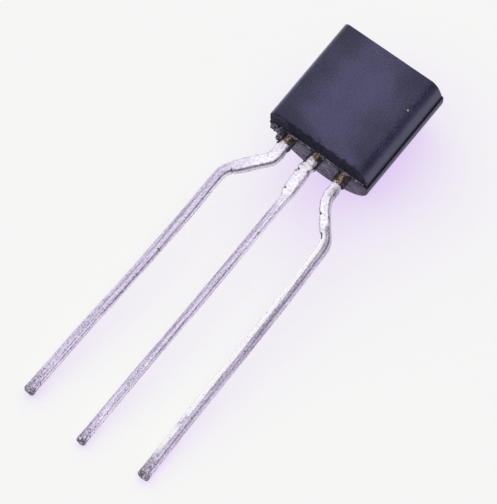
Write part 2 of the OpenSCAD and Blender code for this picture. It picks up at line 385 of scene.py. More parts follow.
def resin_finish():
    """Matt moulding compound: fine spark-eroded grain, faint clouds, and painted shade, darkest at
    the lead end.
    """
    material, net, where = new_finish("moulded resin")
    x, y, z = net.parts(where)
    grain = net.noise(where, 17.0, 3.0, 0.65)
    clouds = net.noise(where, 0.9, 3.0, 0.5)
    # painted light and shade: palest along a line up the face, darker toward its sides and ends, and
    # the walls painted lighter than the face
    palest = net.ramp(z, -2.2, -1.5, 0.9, -0.05)
    sides = net.ramp(net.gap(x, palest), 0.35, BODY_WIDTH / 2 - 0.45, 0.80, 0.22)
    ends = net.ramp(net.gap(z, -0.1), 1.0, BODY_HEIGHT / 2 - 0.1, 0.0, 0.22)
    face_tone = net.minus(sides, ends)
    wall_tone = net.ramp(x, -1.0, 1.0, 1.0, 0.85)
    tone = net.toward(wall_tone, face_tone, net.fall(y, -0.95, -0.6))
    share = net.plus(net.swing(grain, 3.0), net.swing(clouds, 0.9), tone)
    colour = net.mix(net.math("MULTIPLY", share, 1.0, clamp=True), *RESIN_COLOURS)
    # a painted shade: the dark strip along the front half's lead end, with a border that is more
    # ragged near the middle
    strip_noise = net.plus(net.noise(where, 6.0, 4.0, 0.8), net.times(clouds, 0.4))
    ragged = net.ramp(net.gap(x, 0.3), 0.3, 1.3, 1.15, 0.65)
    border = net.minus(z, net.times(net.minus(strip_noise, 0.7), ragged))
    strip = net.fall(border, LEAD_END, LEAD_END + 0.14)
    strip = net.times(strip, net.fall(y, -0.02, 0.0))
    # dark spots above it, most of them near the middle, that carry the painted shade on raggedly
    shade_spots = net.plus(net.times(net.noise(where, 6.0, 3.0, 0.7), 1.8), net.swing(grain, 0.6))
    shade_spots = net.minus(shade_spots, 0.4)
    shade_spots = net.minus(shade_spots, net.ramp(z, LEAD_END + 0.05, LEAD_END + 0.45, 0.0, 0.5))
    shade_spots = net.minus(shade_spots, net.ramp(ragged, 0.65, 1.1, 0.16, 0.0))
    shade_spots = net.times(net.ramp(shade_spots, 0.50, 0.57), net.ramp(y, -0.02, 0.0, 0.8, 0.0))
    # painted shade on the walls beside the groove of the parting line
    seam = net.ramp(net.gap(y, -0.06), 0.1, 0.26, 0.6, 0.0)
    strip = net.most(net.most(strip, shade_spots), seam)
    colour = net.mix(net.times(strip, 0.92), colour, net.shades(grain, 0.45, 0.75, *STRIP_SHADE))
    # a painted highlight along the left long edge
    edge_highlight = net.most(net.fall(x, -2.24, -2.06), net.ramp(x, -2.12, -1.96, 0.14, 0.0))
    edge_highlight = net.times(edge_highlight, net.fall(y, -0.75, -0.45))
    colour = net.mix(edge_highlight, colour, EDGE_HIGHLIGHT)
    # a pale fleck on the flat face, near its right edge
    away = net.vector("LENGTH", net.vector("SUBTRACT", where, net.xyz(*FLECK)), out=1)
    colour = net.mix(net.ramp(away, 0.02, 0.05, 0.9, 0.0), colour, FLECK_WHITE)
    dull = net.plus(net.ramp(grain, 0.3, 0.7, 0.44, 0.58), net.times(strip, 0.3))
    relief = net.noise(where, 11.0, 4.0, 0.7)
    close_finish(net, colour, dull, relief, 0.35, 0.012, **{SHINE: 0.36})
    return material


def end_finish(name, dark, light, low, high, rough, specular, lump, parting_share=1.0,
               left_tone=1.0, right_tone=1.0, left_end=-1.3):
    """The compound where it broke at the gate and the back lead end, and the flash: rough, with
    coarser flecks. Near black, it is a painted shade on the front half's end and in the groove.

    low and high are where the flecks turn from dark to light, lump is how deep the relief is,
    parting_share is how much of its paleness is left beside the parting line, a painted shade
    there, left_tone and right_tone are how much lighter its two corners are, left_end is where
    left_tone ends."""
    material, net, where = new_finish(name)
    x, y, _ = net.parts(where)
    flecks = net.plus(net.times(net.noise(where, 9.0, 4.0, 0.75), 0.6),
                      net.times(net.noise(where, 2.6, 3.0, 0.6), 0.4))
    pale = net.times(net.ramp(flecks, low, high), net.ramp(y, 0.0, 0.7, parting_share, 1.0))
    colour = net.scaled(
        net.mix(pale, dark, light), net.ramp(y, 0.0, 0.7, (1 + parting_share) / 2, 1.0))
    colour = net.scaled(colour, net.times(
        net.ramp(x, left_end - 0.3, left_end, left_tone, 1.0),
        net.ramp(x, 1.2, 1.8, 1.0, right_tone)))
    dull = net.ramp(flecks, 0.3, 0.7, rough, rough + 0.12)
    close_finish(net, colour, dull, flecks, 0.7, lump, **{SHINE: specular})
    return material


# what a lead's mesh tells its finish, in millimetres: run from the body, left to the tip,
# across and deep in the section, and from the right corner; then what tells the leads apart
LEAD_FACTS = ("run", "left", "across", "deep", "bright", "shade", "bare", "lit", "soft", "line",
              "nick", "corner")

DRAWN_TIN = (0.283, 0.247, 0.332), (0.72, 0.652, 0.825)
BRIGHT_TIN = (0.54, 0.50, 0.60), (0.90, 0.87, 0.96)
SHINY_SPOT = (0.97, 0.96, 0.97)
BORDER_HIGHLIGHT = (0.92, 0.91, 0.92)
DARK_FLECK = (0.12, 0.10, 0.14)
STAIN = (0.09, 0.08, 0.11)
PIT = (0.13, 0.11, 0.16)
NICK = (0.05, 0.04, 0.06)
COPPER = (0.62, 0.38, 0.28), (0.055, 0.03, 0.03)
COPPER_GLINT = (1.0, 0.84, 0.76)
CRUST = (0.006, 0.004, 0.009), (0.12, 0.085, 0.115)
CRUST_INNER = (0.10, 0.04, 0.045)
CUT_END = (0.17, 0.145, 0.175), (0.80, 0.72, 0.84)


class LeadMarks:
    """What the marks on a lead are placed by: the facts on its mesh and the noises they share."""

    def __init__(self, net, where):
        for fact in LEAD_FACTS:
            stored = net.add("Attribute", attribute_name="lead_" + fact, out="Fac")
            setattr(self, fact, stored)
        self.where = where
        self.broad = net.noise(where, 1.6, 3.0, 0.55)
        self.fine = net.noise(where, 9.0, 4.0, 0.7)
        self.pits = net.noise(where, 13.0, 2.0, 0.5)
        self.sandy = net.noise(where, 15.0, 2.0, 0.6)
        lengthwise = net.xyz(net.times(self.run, 0.45), net.times(self.across, 9.0),
                             net.plus(net.times(self.deep, 9.0), net.times(self.bright, 3.0)))
        self.streaks = net.noise(lengthwise, 1.0, 3.0, 0.6)
        self.worn = net.plus(net.minus(self.run, self.bright), net.swing(self.broad, 2.4))
        self.on_face = net.fall(self.deep, -0.12, -0.04)
        self.twisted = net.ramp(self.line, 10.0, 11.0)


def tin_plate(net, lead):
    """Drawn plate, duller on some leads than on others, bright near the body, and painted lighter on
    its side faces than on its front face (painted light).
    """
    grey = net.plus(net.times(lead.streaks, 0.75), net.times(lead.fine, 0.5))
    grey = net.plus(grey, net.swing(lead.sandy, 0.85))
    plate = net.shades(grey, 0.36, 0.86, *DRAWN_TIN)
    # the side faces are painted lighter than the front face: painted light
    painted_lit_sides = net.ramp(lead.deep, -0.17, -0.10)
    plate = net.scaled(plate, net.plus(lead.shade, net.times(painted_lit_sides, 0.6)))
    bright = net.shades(lead.fine, 0.34, 0.62, *BRIGHT_TIN)
    bright = net.mix(net.ramp(lead.pits, 0.56, 0.66), bright, SHINY_SPOT)
    return net.mix(net.ramp(lead.worn, -0.7, 0.7), bright, plate)


def painted_highlight_border(net, lead):
    """A painted highlight along the rounded left border of the face: narrow on two leads, broad on
    one.
    """
    border = net.plus(net.minus(lead.across, lead.lit), net.swing(lead.fine, 0.12))
    is_broad = net.ramp(lead.lit, -0.1, -0.02)
    on_left_side = net.times(net.fall(lead.across, -0.18, -0.14), is_broad)
    highlight_gap = net.times(
        net.ramp(net.gap(lead.run, 11.6), 0.15, 0.45, 0.75, 0.0), net.ramp(lead.fine, 0.40, 0.55))
    return net.times(
        net.fall(border, -0.04, 0.03), net.most(lead.on_face, on_left_side),
        net.plus(net.times(is_broad, 0.7), 0.3),
        net.ramp(net.plus(lead.left, net.swing(lead.broad, 0.6)), 0.15, 1.9),
        net.ramp(lead.run, 2.3, 3.0), net.rest(highlight_gap))


def drawn_line(net, lead):
    """A dark line left of the middle, wandering a little."""
    wander = net.swing(net.noise(net.xyz(lead.run, lead.bright, 0.0), 0.7, 2.0, 0.5), 0.16)
    away = net.gap(net.plus(lead.across, 0.06, wander))
    below_bends = net.times(lead.on_face, net.ramp(lead.run, 2.2, 3.2))
    return net.times(net.ramp(away, 0.0, 0.06, 0.2, 0.0), below_bends)


def right_corner(net, lead):
    """How much lighter the right corner is: painted shade along it near the body, painted light
    further down and toward the tip.
    """
    corner_shade = net.ramp(net.minus(lead.run, lead.line), -0.5, 0.5, 0.45, 0.0)
    faint = net.times(lead.twisted, net.ramp(lead.run, 6.0, 10.0, 0.55, 1.0))
    corner_shade = net.times(corner_shade, net.rest(faint), net.ramp(lead.run, 0.5, 1.3, 0.6, 1.0))
    corner_light = net.times(
        net.ramp(net.minus(lead.run, lead.soft), -0.5, 0.5, 0.42, 0.0),
        net.ramp(lead.run, 1.6, 2.2))
    corner_light = net.plus(net.ramp(lead.run, 9.0, 10.5, 0.0, 0.42), corner_light)
    corner_light = net.times(corner_light, net.rest(net.times(lead.twisted, 0.6)))
    corner = net.fall(lead.corner, 0.05, 0.11)
    return net.times(corner, net.minus(corner_light, corner_shade))


def marked(net, lead, plate):
    """The plate with its dark marks."""
    # flecks along the edges of the bright part
    flecks = net.times(
        net.ramp(net.noise(lead.where, 5.0, 3.0, 0.6), 0.56, 0.62, 0.0, 0.75),
        net.ramp(net.gap(lead.across), 0.12, 0.2), lead.on_face, net.fall(lead.worn, -0.9, -0.3))
    plate = net.mix(flecks, plate, DARK_FLECK)
    # the twisted lead is stained beside both of its bends
    below = net.times(
        net.span(lead.run, 2.2, 2.5, 3.1, 3.6), net.ramp(lead.across, 0.0, 0.08),
        net.ramp(lead.sandy, 0.38, 0.58, 0.2, 1.15), net.ramp(lead.deep, -0.16, -0.08, 1.0, 0.15))
    above = net.times(net.span(lead.run, 0.6, 0.7, 0.95, 1.2),
                      net.ramp(lead.across, -0.06, 0.05), net.ramp(lead.fine, 0.44, 0.56))
    stain = net.times(net.most(below, above), lead.twisted, 0.72)
    plate = net.mix(stain, plate, STAIN)
    # pits, more of them close to the tip, and the nicks in the edges
    pitted = net.plus(lead.pits, net.ramp(lead.left, 0.2, 1.6, 0.12, 0.0))
    plate = net.mix(net.ramp(pitted, 0.63, 0.71, 0.0, 0.85), plate, PIT)
    return net.mix(net.ramp(lead.nick, 0.25, 0.6, 0.0, 0.9), plate, NICK)


def lead_root(net, lead):
    """The root: where it is bare, where its dark shoulders are, and its colour."""
    beside = net.plus(net.gap(lead.across, 0.025), net.swing(lead.fine, 0.1))
    until = net.toward(lead.bare, ROOT_LENGTH + 0.06, net.ramp(beside, 0.17, 0.22))
    edge = net.plus(lead.run, net.swing(lead.fine, 0.5))
    bare = net.fall(net.minus(edge, until), -0.06, 0.03)
    offset = net.plus(lead.across, net.swing(net.noise(lead.where, 4.0, 2.0, 0.5), 0.25))
    ragged = net.plus(net.gap(offset), net.swing(lead.fine, 0.22))
    shoulder = net.ramp(ragged, 0.055, 0.11)
    copper = net.shades(lead.pits, 0.36, 0.62, *COPPER)
    copper = net.mix(net.ramp(lead.fine, 0.53, 0.62), copper, COPPER_GLINT)
    crust = net.shades(lead.fine, 0.42, 0.66, *CRUST)
    crust = net.mix(net.ramp(ragged, 0.10, 0.2, 0.3, 0.0), crust, CRUST_INNER)
    return bare, shoulder, net.mix(shoulder, copper, crust)


def tin_finish():
    """Dull tin plate: bright below the bare brown root, lilac grey and drawn further down."""
    material, net, where = new_finish("tin plate")
    lead = LeadMarks(net, where)
    # a painted highlight along the left border of the face
    border = painted_highlight_border(net, lead)
    plate = net.mix(border, tin_plate(net, lead), BORDER_HIGHLIGHT)
    plate = net.scaled(plate, net.rest(drawn_line(net, lead)))
    # painted light and shade along the right corner
    plate = net.scaled(plate, net.plus(1.0, right_corner(net, lead)))
    bare, shoulder, root = lead_root(net, lead)
    colour = net.mix(bare, marked(net, lead, plate), root)
    cut = net.fall(net.plus(lead.left, net.swing(lead.fine, 0.6)), 0.16, 0.34)
    colour = net.mix(cut, colour, net.shades(lead.pits, 0.45, 0.68, *CUT_END))
    metal = net.rest(net.times(bare, net.plus(0.35, net.times(shoulder, 0.65))))
    metal = net.minus(metal, net.times(border, 0.5))
    rough = net.plus(net.ramp(lead.fine, 0.3, 0.7, 0.42, 0.58), net.times(net.plus(bare, cut), 0.15))
    relief = net.plus(*(net.times(rise, 0.8) for rise in (lead.fine, lead.pits, lead.streaks)))
    close_finish(net, colour, rough, relief, 0.6, 0.02, Metallic=metal)
    return material


def plain_finish(name, dark, light, metallic, rough, scale):
    """A fine, slightly uneven surface for the pieces sealed inside."""
    material, net, where = new_finish(name)
    grain = net.noise(where, scale, 3.0, 0.6)
    dull = net.ramp(grain, 0.3, 0.7, rough - 0.05, rough + 0.08)
    close_finish(
        net, net.shades(grain, 0.3, 0.7, dark, light), dull, grain, 0.2, 0.002, Metallic=metallic)
    return material


RESIN = resin_finish()
# near-black compound for the front half's lead end and the groove: a painted shade
SHADE_PAINTED_RESIN = end_finish(
    "moulded resin, painted shade at the front lead end", (0.012, 0.011, 0.025), (0.070, 0.064, 0.108), low=0.42,
    high=0.78, rough=0.85, specular=0.1, lump=0.03, left_tone=1.9)
# the back half's end, darker beside the parting line through parting_share: a painted shade under
# the front half's edge
BROKEN_RESIN = end_finish(
    "moulded resin, back lead end", (0.058, 0.052, 0.096), (0.36, 0.32, 0.44), low=0.42, high=0.68,
    rough=0.6, specular=0.2, lump=0.03, parting_share=0.5, left_tone=0.55, right_tone=0.72)
FLASH_RESIN = end_finish(
    "resin flash", (0.056, 0.05, 0.088), (0.60, 0.56, 0.68), low=0.44, high=0.68, rough=0.6,
    specular=0.3, lump=0.02, left_tone=0.7, left_end=-1.2)
TIN = tin_finish()


# ---- moulded body ----

def front_half_width(y):
    """Half the width of the front half at depth y, from its swelling side and rounded edge."""
    half = BODY_WIDTH / 2 - MOULD_STEP
    radius = (FRONT_DEPTH ** 2 + SIDE_BULGE ** 2) / (2 * SIDE_BULGE)
    centre = half - radius
    edge_y = SIDE_EDGE_RADIUS - FRONT_DEPTH
    reach = radius - SIDE_EDGE_RADIUS
    edge_x = centre + math.sqrt(reach ** 2 - edge_y ** 2)
    if y < edge_y * radius / reach:
        return edge_x + math.sqrt(max(0.0, SIDE_EDGE_RADIUS ** 2 - (y - edge_y) ** 2))
    return centre + math.sqrt(radius ** 2 - y ** 2)


def front_half_height(y):
    """Half the height of the front half at depth y, from its drafted end and rounded edge."""
    half = BODY_HEIGHT / 2 - MOULD_STEP
    face = half - FRONT_DEPTH * math.tan(DRAFT)
    run_out = END_EDGE_RADIUS / math.tan((math.pi / 2 + DRAFT) / 2)
    edge_y = END_EDGE_RADIUS - FRONT_DEPTH
    if y < -FRONT_DEPTH + run_out * math.cos(DRAFT):
        return face - run_out + math.sqrt(max(0.0, END_EDGE_RADIUS ** 2 - (y - edge_y) ** 2))
    return half + y * math.tan(DRAFT)


def outline(half_width, half_height, y):
    """A rounded rectangle at depth y: right column upwards, top, left column, bottom."""
    def corner(centre_x, centre_z, start):
        turns = [start + math.pi / 2 * k / ARC_STEPS for k in range(ARC_STEPS + 1)]
        return [(centre_x + CORNER_RADIUS * math.cos(turn), y,
                 centre_z + CORNER_RADIUS * math.sin(turn)) for turn in turns]

    def between(a, b, steps):
        return [tuple(a[i] + (b[i] - a[i]) * k / steps for i in range(3)) for k in range(1, steps)]

    x, z = half_width - CORNER_RADIUS, half_height - CORNER_RADIUS
    corners = [corner(x, -z, -math.pi / 2), corner(x, z, 0),
               corner(-x, z, math.pi / 2), corner(-x, -z, math.pi)]
    steps = (SIDE_STEPS, END_STEPS, SIDE_STEPS, END_STEPS)
    points = []
    for k in range(4):
        points += corners[k] + between(corners[k][-1], corners[(k + 1) % 4][0], steps[k])
    return points


def front_outlines():
    """Outlines from the flat face back to the parting line, round the groove there."""
    start, end = -FRONT_DEPTH + SIDE_EDGE_RADIUS, -GROOVE_WIDTH - LIP_RADIUS
    levels = [start - SIDE_EDGE_RADIUS * math.cos(math.pi / 2 * k / EDGE_STEPS)
              for k in range(EDGE_STEPS)]
    levels += [start + (end - start) * k / WALL_STEPS for k in range(WALL_STEPS + 1)]
    rings = [outline(front_half_width(y), front_half_height(y), y) for y in levels]
    lip_x, lip_z = front_half_width(end), front_half_height(end)
    for k in range(1, LIP_STEPS + 1):
        turn = math.pi / 2 * k / LIP_STEPS
        inset = LIP_RADIUS * (1 - math.cos(turn))
        rings.append(outline(lip_x - inset, lip_z - inset, end + LIP_RADIUS * math.sin(turn)))
    core = MOULD_STEP + GROOVE_DEPTH
    rings += [outline(BODY_WIDTH / 2 - core, BODY_HEIGHT / 2 - core, y)
              for y in (-GROOVE_WIDTH, 0.0)]
    for k in range(LIP_STEPS + 1):
        turn = math.pi / 2 * k / LIP_STEPS
        inset = LIP_RADIUS * (1 - math.sin(turn))
        rings.append(outline(
            BODY_WIDTH / 2 - inset, BODY_HEIGHT / 2 - inset, LIP_RADIUS * (1 - math.cos(turn))))
    drafted = BODY_HEIGHT / 2 - BACK_STRAIGHT * math.tan(DRAFT)
    rings.append(outline(BODY_WIDTH / 2, drafted, BACK_STRAIGHT))
    return rings


def moulded_body():
    """The whole moulded body as one closed shell, from the flat face to the round back."""
    shell = bmesh.new()
    rings = [[shell.verts.new(p) for p in ring] for ring in front_outlines()]
    count = len(rings[0])
    for a, b in zip(rings, rings[1:]):
        for k in range(count):
            shell.faces.new((a[k], a[(k + 1) % count], b[(k + 1) % count], b[k]))
    shell.faces.new(list(reversed(rings[0])))
    # the round back: the right column of the last outline, turned round to the left column
    last = rings[-1]
    right = last[:COLUMN]
    left = last[COLUMN + END_STEPS - 1:2 * COLUMN + END_STEPS - 1][::-1]
    columns = [right]
    for step in range(1, TURN_STEPS):
        turn = math.pi * step / TURN_STEPS
        column = []
        for v in right:
            x, y = v.co.x * math.cos(turn), BACK_STRAIGHT + v.co.x * math.sin(turn)
            drafted = 1 - (y - BACK_STRAIGHT) * math.tan(DRAFT) / (BODY_HEIGHT / 2)
            column.append(shell.verts.new((x, y, v.co.z * drafted)))
        columns.append(column)
    columns.append(left)
    for a, b in zip(columns, columns[1:]):
        for k in range(COLUMN - 1):
            shell.faces.new((a[k], a[k + 1], b[k + 1], b[k]))
    top = last[COLUMN:COLUMN + END_STEPS - 1]
    bottom = last[2 * COLUMN + END_STEPS - 1:]
    shell.faces.new([c[-1] for c in columns] + top[::-1])
    shell.faces.new([c[0] for c in columns[::-1]] + bottom[::-1])
    for v in shell.verts:
        v.co.x *= 1 + BODY_SWELL / BODY_WIDTH
    mesh = plain_mesh("moulded_body", shell)
    for finish in (RESIN, SHADE_PAINTED_RESIN, BROKEN_RESIN):
        mesh.materials.append(finish)
    for face in mesh.polygons:
        # the groove and the front half's end take the near-black finish, a painted shade; the back
        # half's end takes the broken resin
        in_groove = -GROOVE_WIDTH - LIP_RADIUS < face.center.y < BACK_STRAIGHT
        at_end = face.center.z < LEAD_END + END_FINISH_REACH
        if in_groove:
            face.material_index = 1
        elif at_end and abs(face.normal.z) > END_FINISH_SLOPE:
            face.material_index = 1 if face.center.y < 0.001 else 2
    return mesh


FLASH_SIZES = {
    "Half Length": BODY_WIDTH / 2 - MOULD_STEP - 2 * GROOVE_DEPTH - FLASH_THICKNESS,
    "Height": FLASH_HEIGHT, "Thickness": FLASH_THICKNESS, "Level": LEAD_END + MOULD_STEP,
    "Crumbs": 30, "Corner Lumps": 24, "Crumb Size": 0.035, "Seed": 3.0}


def flash_strip(net, given):
    """The ragged strip of flash: a line along the parting line, drawn down into teeth."""
    reach, level = given["Half Length"], given["Level"]
    line = net.add("CurvePrimitiveLine", Start=net.xyz(net.times(reach, -1.0), 0.0, level),
                   End=net.xyz(reach, 0.0, level))
    line = net.add("ResampleCurve", line, mode="COUNT", Count=FLASH_STEPS)
    line, line_at = net.captured(line)
    section = net.add("CurvePrimitiveQuadrilateral", mode="RECTANGLE", Width=1.0, Height=1.0)
    section = net.add("ResampleCurve", section, mode="COUNT", Count=FLASH_RING)
    section, section_at = net.captured(section)
    x = net.parts(line_at)[0]
    drop = net.plus(net.parts(section_at)[0], 0.5)
    along = net.vector("ADD", line_at, net.xyz(0.0, given["Seed"], 0.0))
    stretches = net.ramp(net.noise(along, 1.7, 3.0, 0.6), 0.42, 0.60)
    teeth = net.ramp(net.noise(along, 11.0, 4.0, 0.75), 0.34, 0.70, 0.15, 1.3)
    ends = net.ramp(net.gap(x), net.minus(reach, 0.3), reach, 1.0, 0.1)
    height = net.times(net.times(given["Height"], ends), net.times(stretches, teeth))
    down = net.minus(net.times(drop, net.plus(height, FLASH_SINK)), FLASH_SINK)
    thin = net.times(given["Thickness"], net.rest(net.times(drop, 0.6)))
    bent = net.times(net.minus(net.noise(along, 5.0, 3.0, 0.6), 0.5), drop, 0.12)
    y = net.plus(net.times(net.minus(net.parts(section_at)[1], 0.5), thin), bent)
    return net.add(
        "SetPosition", net.swept(line, section), Position=net.xyz(x, y, net.minus(level, down)))


def flash_tree():
    """Thin ragged resin flash along the parting line, with crumbs broken off beside it."""
    net, given = geometry_tree("parting flash", FLASH_SIZES)
    reach, level = given["Half Length"], given["Level"]
    ball = net.add("MeshIcoSphere", Radius=given["Crumb Size"], Subdivisions=3)
    ball = net.add("SetPosition", ball, Offset=net.shake(net.add("InputPosition"), 30.0, 0.05))
    full_turn = (6.283, 6.283, 6.283)
    spin = net.add("FunctionNodeRandomValue", (0.0, 0.0, 0.0), full_turn, *[None] * 6, 13,
                   data_type="FLOAT_VECTOR")

    def scattered(count, spot, sizes):
        points = net.add("Points", net.math("ROUND", given[count]))
        points = net.add("SetPosition", points, Position=spot)
        return net.add(
            "InstanceOnPoints", points, Instance=ball, Rotation=spin, Scale=net.xyz(*sizes))

    def lumps(across, back, down, smallest, largest, seed):
        spot = net.xyz(net.chance(*across, seed), net.chance(*back, seed + 1),
                       net.minus(level, net.chance(*down, seed + 2)))
        sizes = [net.chance(smallest, largest, seed + step) for step in (3, 4, 5)]
        return scattered("Corner Lumps", spot, sizes)

    # crumbs, half sunk in the lead end
    spot = net.xyz(net.times(net.chance(-0.95, 0.95, 11), reach), net.chance(-0.16, 0.08, 12), level)
    sizes = net.chance(0.4, 1.6, 14), net.chance(0.4, 1.2, 15), net.chance(0.4, 1.1, 16)
    crumbs = scattered("Crumbs", spot, sizes)
    # larger lumps of torn resin: round the left corner, and beside the left lead's root
    corner = lumps((-2.24, -1.60), (-0.10, 0.34), (0.0, 0.12), 1.7, 3.5, 21)
    beside_root = lumps((-1.70, -1.57), (-0.14, 0.10), (0.0, 0.42), 1.5, 2.7, 31)
    together = net.add("JoinGeometry", out=None)
    for part in (beside_root, corner, crumbs, flash_strip(net, given)):
        net.tree.links.new(part, together.inputs[0])
    close_tree(net, together.outputs[0], given)
    return net.tree


def gate_stub():
    """The rough stub on the top end where the gate was broken off."""
    shell = bmesh.new()
    columns, rows = 28, 8
    top = BODY_HEIGHT / 2
    grid = []
    for i in range(columns + 1):
        line = []
        for j in range(rows + 1):
            x = GATE_WIDTH * (i / columns - 0.5)
            y = GATE_THICKNESS * j / rows
            inwards = min(i, columns - i)
            rim = inwards / 2 if inwards < 2 else 1.0
            rim *= 0.5 if j in (0, rows) else 1.0
            coarse, fine = noise.noise((x * 9, y * 16, 4.0)), noise.noise((x * 31, y * 40, 9.0))
            torn = 1 + (coarse * 0.5 + fine * 0.3)
            height = (GATE_HEIGHT + GATE_SINK) * rim * torn
            line.append(shell.verts.new((x, y, top - GATE_SINK + height)))
        grid.append(line)
    for a, b in zip(grid, grid[1:]):
        for j in range(rows):
            shell.faces.new((a[j], b[j], b[j + 1], a[j + 1]))
    rim_edges = [e for e in shell.edges if e.is_boundary]
    skirt = bmesh.ops.extrude_edge_only(shell, edges=rim_edges)
    for v in (g for g in skirt["geom"] if isinstance(g, bmesh.types.BMVert)):
        v.co.z = top - GATE_SKIRT
    bmesh.ops.holes_fill(shell, edges=[e for e in shell.edges if e.is_boundary], sides=0)
    mesh = plain_mesh("gate stub", shell)
    mesh.materials.append(BROKEN_RESIN)
    return mesh


# ---- leads ----

def lead_path(net, given):
    """The bent middle line of a lead, from just inside the body to the tip."""
    bend, splay, radius = given["Bend Angle"], given["Splay"], given["Bend Radius"]
    half_back = net.times(net.minus(bend, splay), 0.5)
    first_tangent = net.times(radius, net.math("TANGENT", net.times(bend, 0.5)))
    second_tangent = net.times(radius, net.math("TANGENT", half_back))
    slant = net.plus(first_tangent, second_tangent, given["Slant Length"])
    # corners of the path: how far each is outwards, and up from the body's lead end
    bend_up = net.times(net.plus(given["Bend Start"], first_tangent), -1.0)
    straight_out = net.times(slant, net.math("SINE", bend))
    straight_up = net.minus(bend_up, net.times(slant, net.math("COSINE", bend)))
    spread = net.times(net.plus(straight_up, given["Length"]), net.math("TANGENT", splay))
    corners = ((0.0, given["Inner Start"]), (0.0, bend_up), (straight_out, straight_up),
               (net.plus(straight_out, spread), net.times(given["Length"], -1.0)))
    row = net.add("MeshLine", count_mode="TOTAL", mode="OFFSET", Count=len(corners))
    chosen = net.add("IndexSwitch", out=None, data_type="VECTOR")
    for _ in corners[2:]:
        chosen.index_switch_items.new()
    net.feed(chosen.inputs[0], net.add("InputIndex"))
    depth = net.times(given["Thickness"], 0.5)
    for k, (outwards, up) in enumerate(corners, 1):
        x = net.times(given["Side"], net.plus(outwards, given["Pitch"]))
        net.feed(chosen.inputs[k], net.xyz(x, depth, net.plus(up, LEAD_END)))
    row = net.add("SetPosition", row, Position=chosen.outputs[0])
    path = net.add("FilletCurve", net.add("MeshToCurve", row), mode="POLY", Count=BEND_STEPS,
                   Radius=radius, **{"Limit Radius": True})
    return net.add("ResampleCurve", path, mode="LENGTH", Length=LEAD_STEP)


def lead_section(net, given):
    """The rounded section of a lead, and where each of its points is in it."""
    section = net.add("CurvePrimitiveQuadrilateral", mode="RECTANGLE",
                      Width=given["Width"], Height=given["Thickness"])
    section = net.add("FilletCurve", section, mode="POLY", Count=LEAD_CORNER_STEPS,
                      Radius=given["Edge Radius"])
    section = net.add("ResampleCurve", section, mode="COUNT", Count=LEAD_RING)
    return net.captured(section)


def lead_width(net, given, run):
    """The width along a lead: wide root, then the neck narrowing to the full length's width."""
    root, neck = given["Root Length"], given["Neck End"]
    necked = net.ramp(
        run, neck, net.plus(neck, given["Taper Length"]), given["Neck Width"], given["Width"])
    return net.ramp(run, net.minus(root, 0.03), net.plus(root, 0.03), given["Root Width"], necked)


def lead_nicks(net, given, run, across, width):
    """How much of a nick there is at each point, all of them in one edge of the lead."""
    nicked = 0.0
    for which in ("Nick", "Second Nick"):
        reach = given[which + " Reach"]
        away = net.gap(run, given[which + " At"])
        nicked = net.plus(nicked, net.fall(away, net.times(reach, 0.4), reach))
    edge = net.math("DIVIDE", net.times(across, given["Nick Side"]), width)
    return net.times(nicked, net.ramp(edge, 0.16, 0.34))


def lead_sway(net, given, run):
    """How far a lead stands aside: at its root and neck, and where its straight part bows."""
    root, neck = given["Root Length"], given["Neck End"]
    necked = net.times(net.ramp(run, root, net.plus(root, 0.2)),
                       net.fall(run, neck, net.plus(neck, given["Taper Length"])))
    bowed = net.times(net.ramp(run, 3.0, 5.5), net.ramp(run, 8.5, 11.0, 1.0, given["Bow Left"]))
    shifted = net.plus(net.times(net.ramp(run, 0.9, 1.9), given["Shift"]),
                       net.times(net.fall(run, 0.5, 1.2), given["Root Shift"]))
    return net.plus(net.times(necked, given["Neck Shift"]), net.times(bowed, given["Bow"]), shifted)


def twisted_place(net, given, run, ring_at, ring_way, across, through):
    """Where a point of the section lies when the lead is twisted about its own length."""
    twist_end = net.plus(given["Twist Start"], given["Twist Run"])
    twist = net.times(given["Twist"], net.ramp(run, given["Twist Start"], twist_end))
    cosine, sine = net.math("COSINE", twist), net.math("SINE", twist)
    deep_way = net.xyz(0.0, 1.0, 0.0)
    flat_way = net.vector("NORMALIZE", net.vector("CROSS_PRODUCT", ring_way, deep_way))
    wide = net.vector("ADD", net.scaled(flat_way, cosine), net.scaled(deep_way, sine))
    deep = net.vector("SUBTRACT", net.scaled(deep_way, cosine), net.scaled(flat_way, sine))
    off_line = net.vector("ADD", net.scaled(wide, across), net.scaled(deep, through))
    return net.vector("ADD", ring_at, off_line)


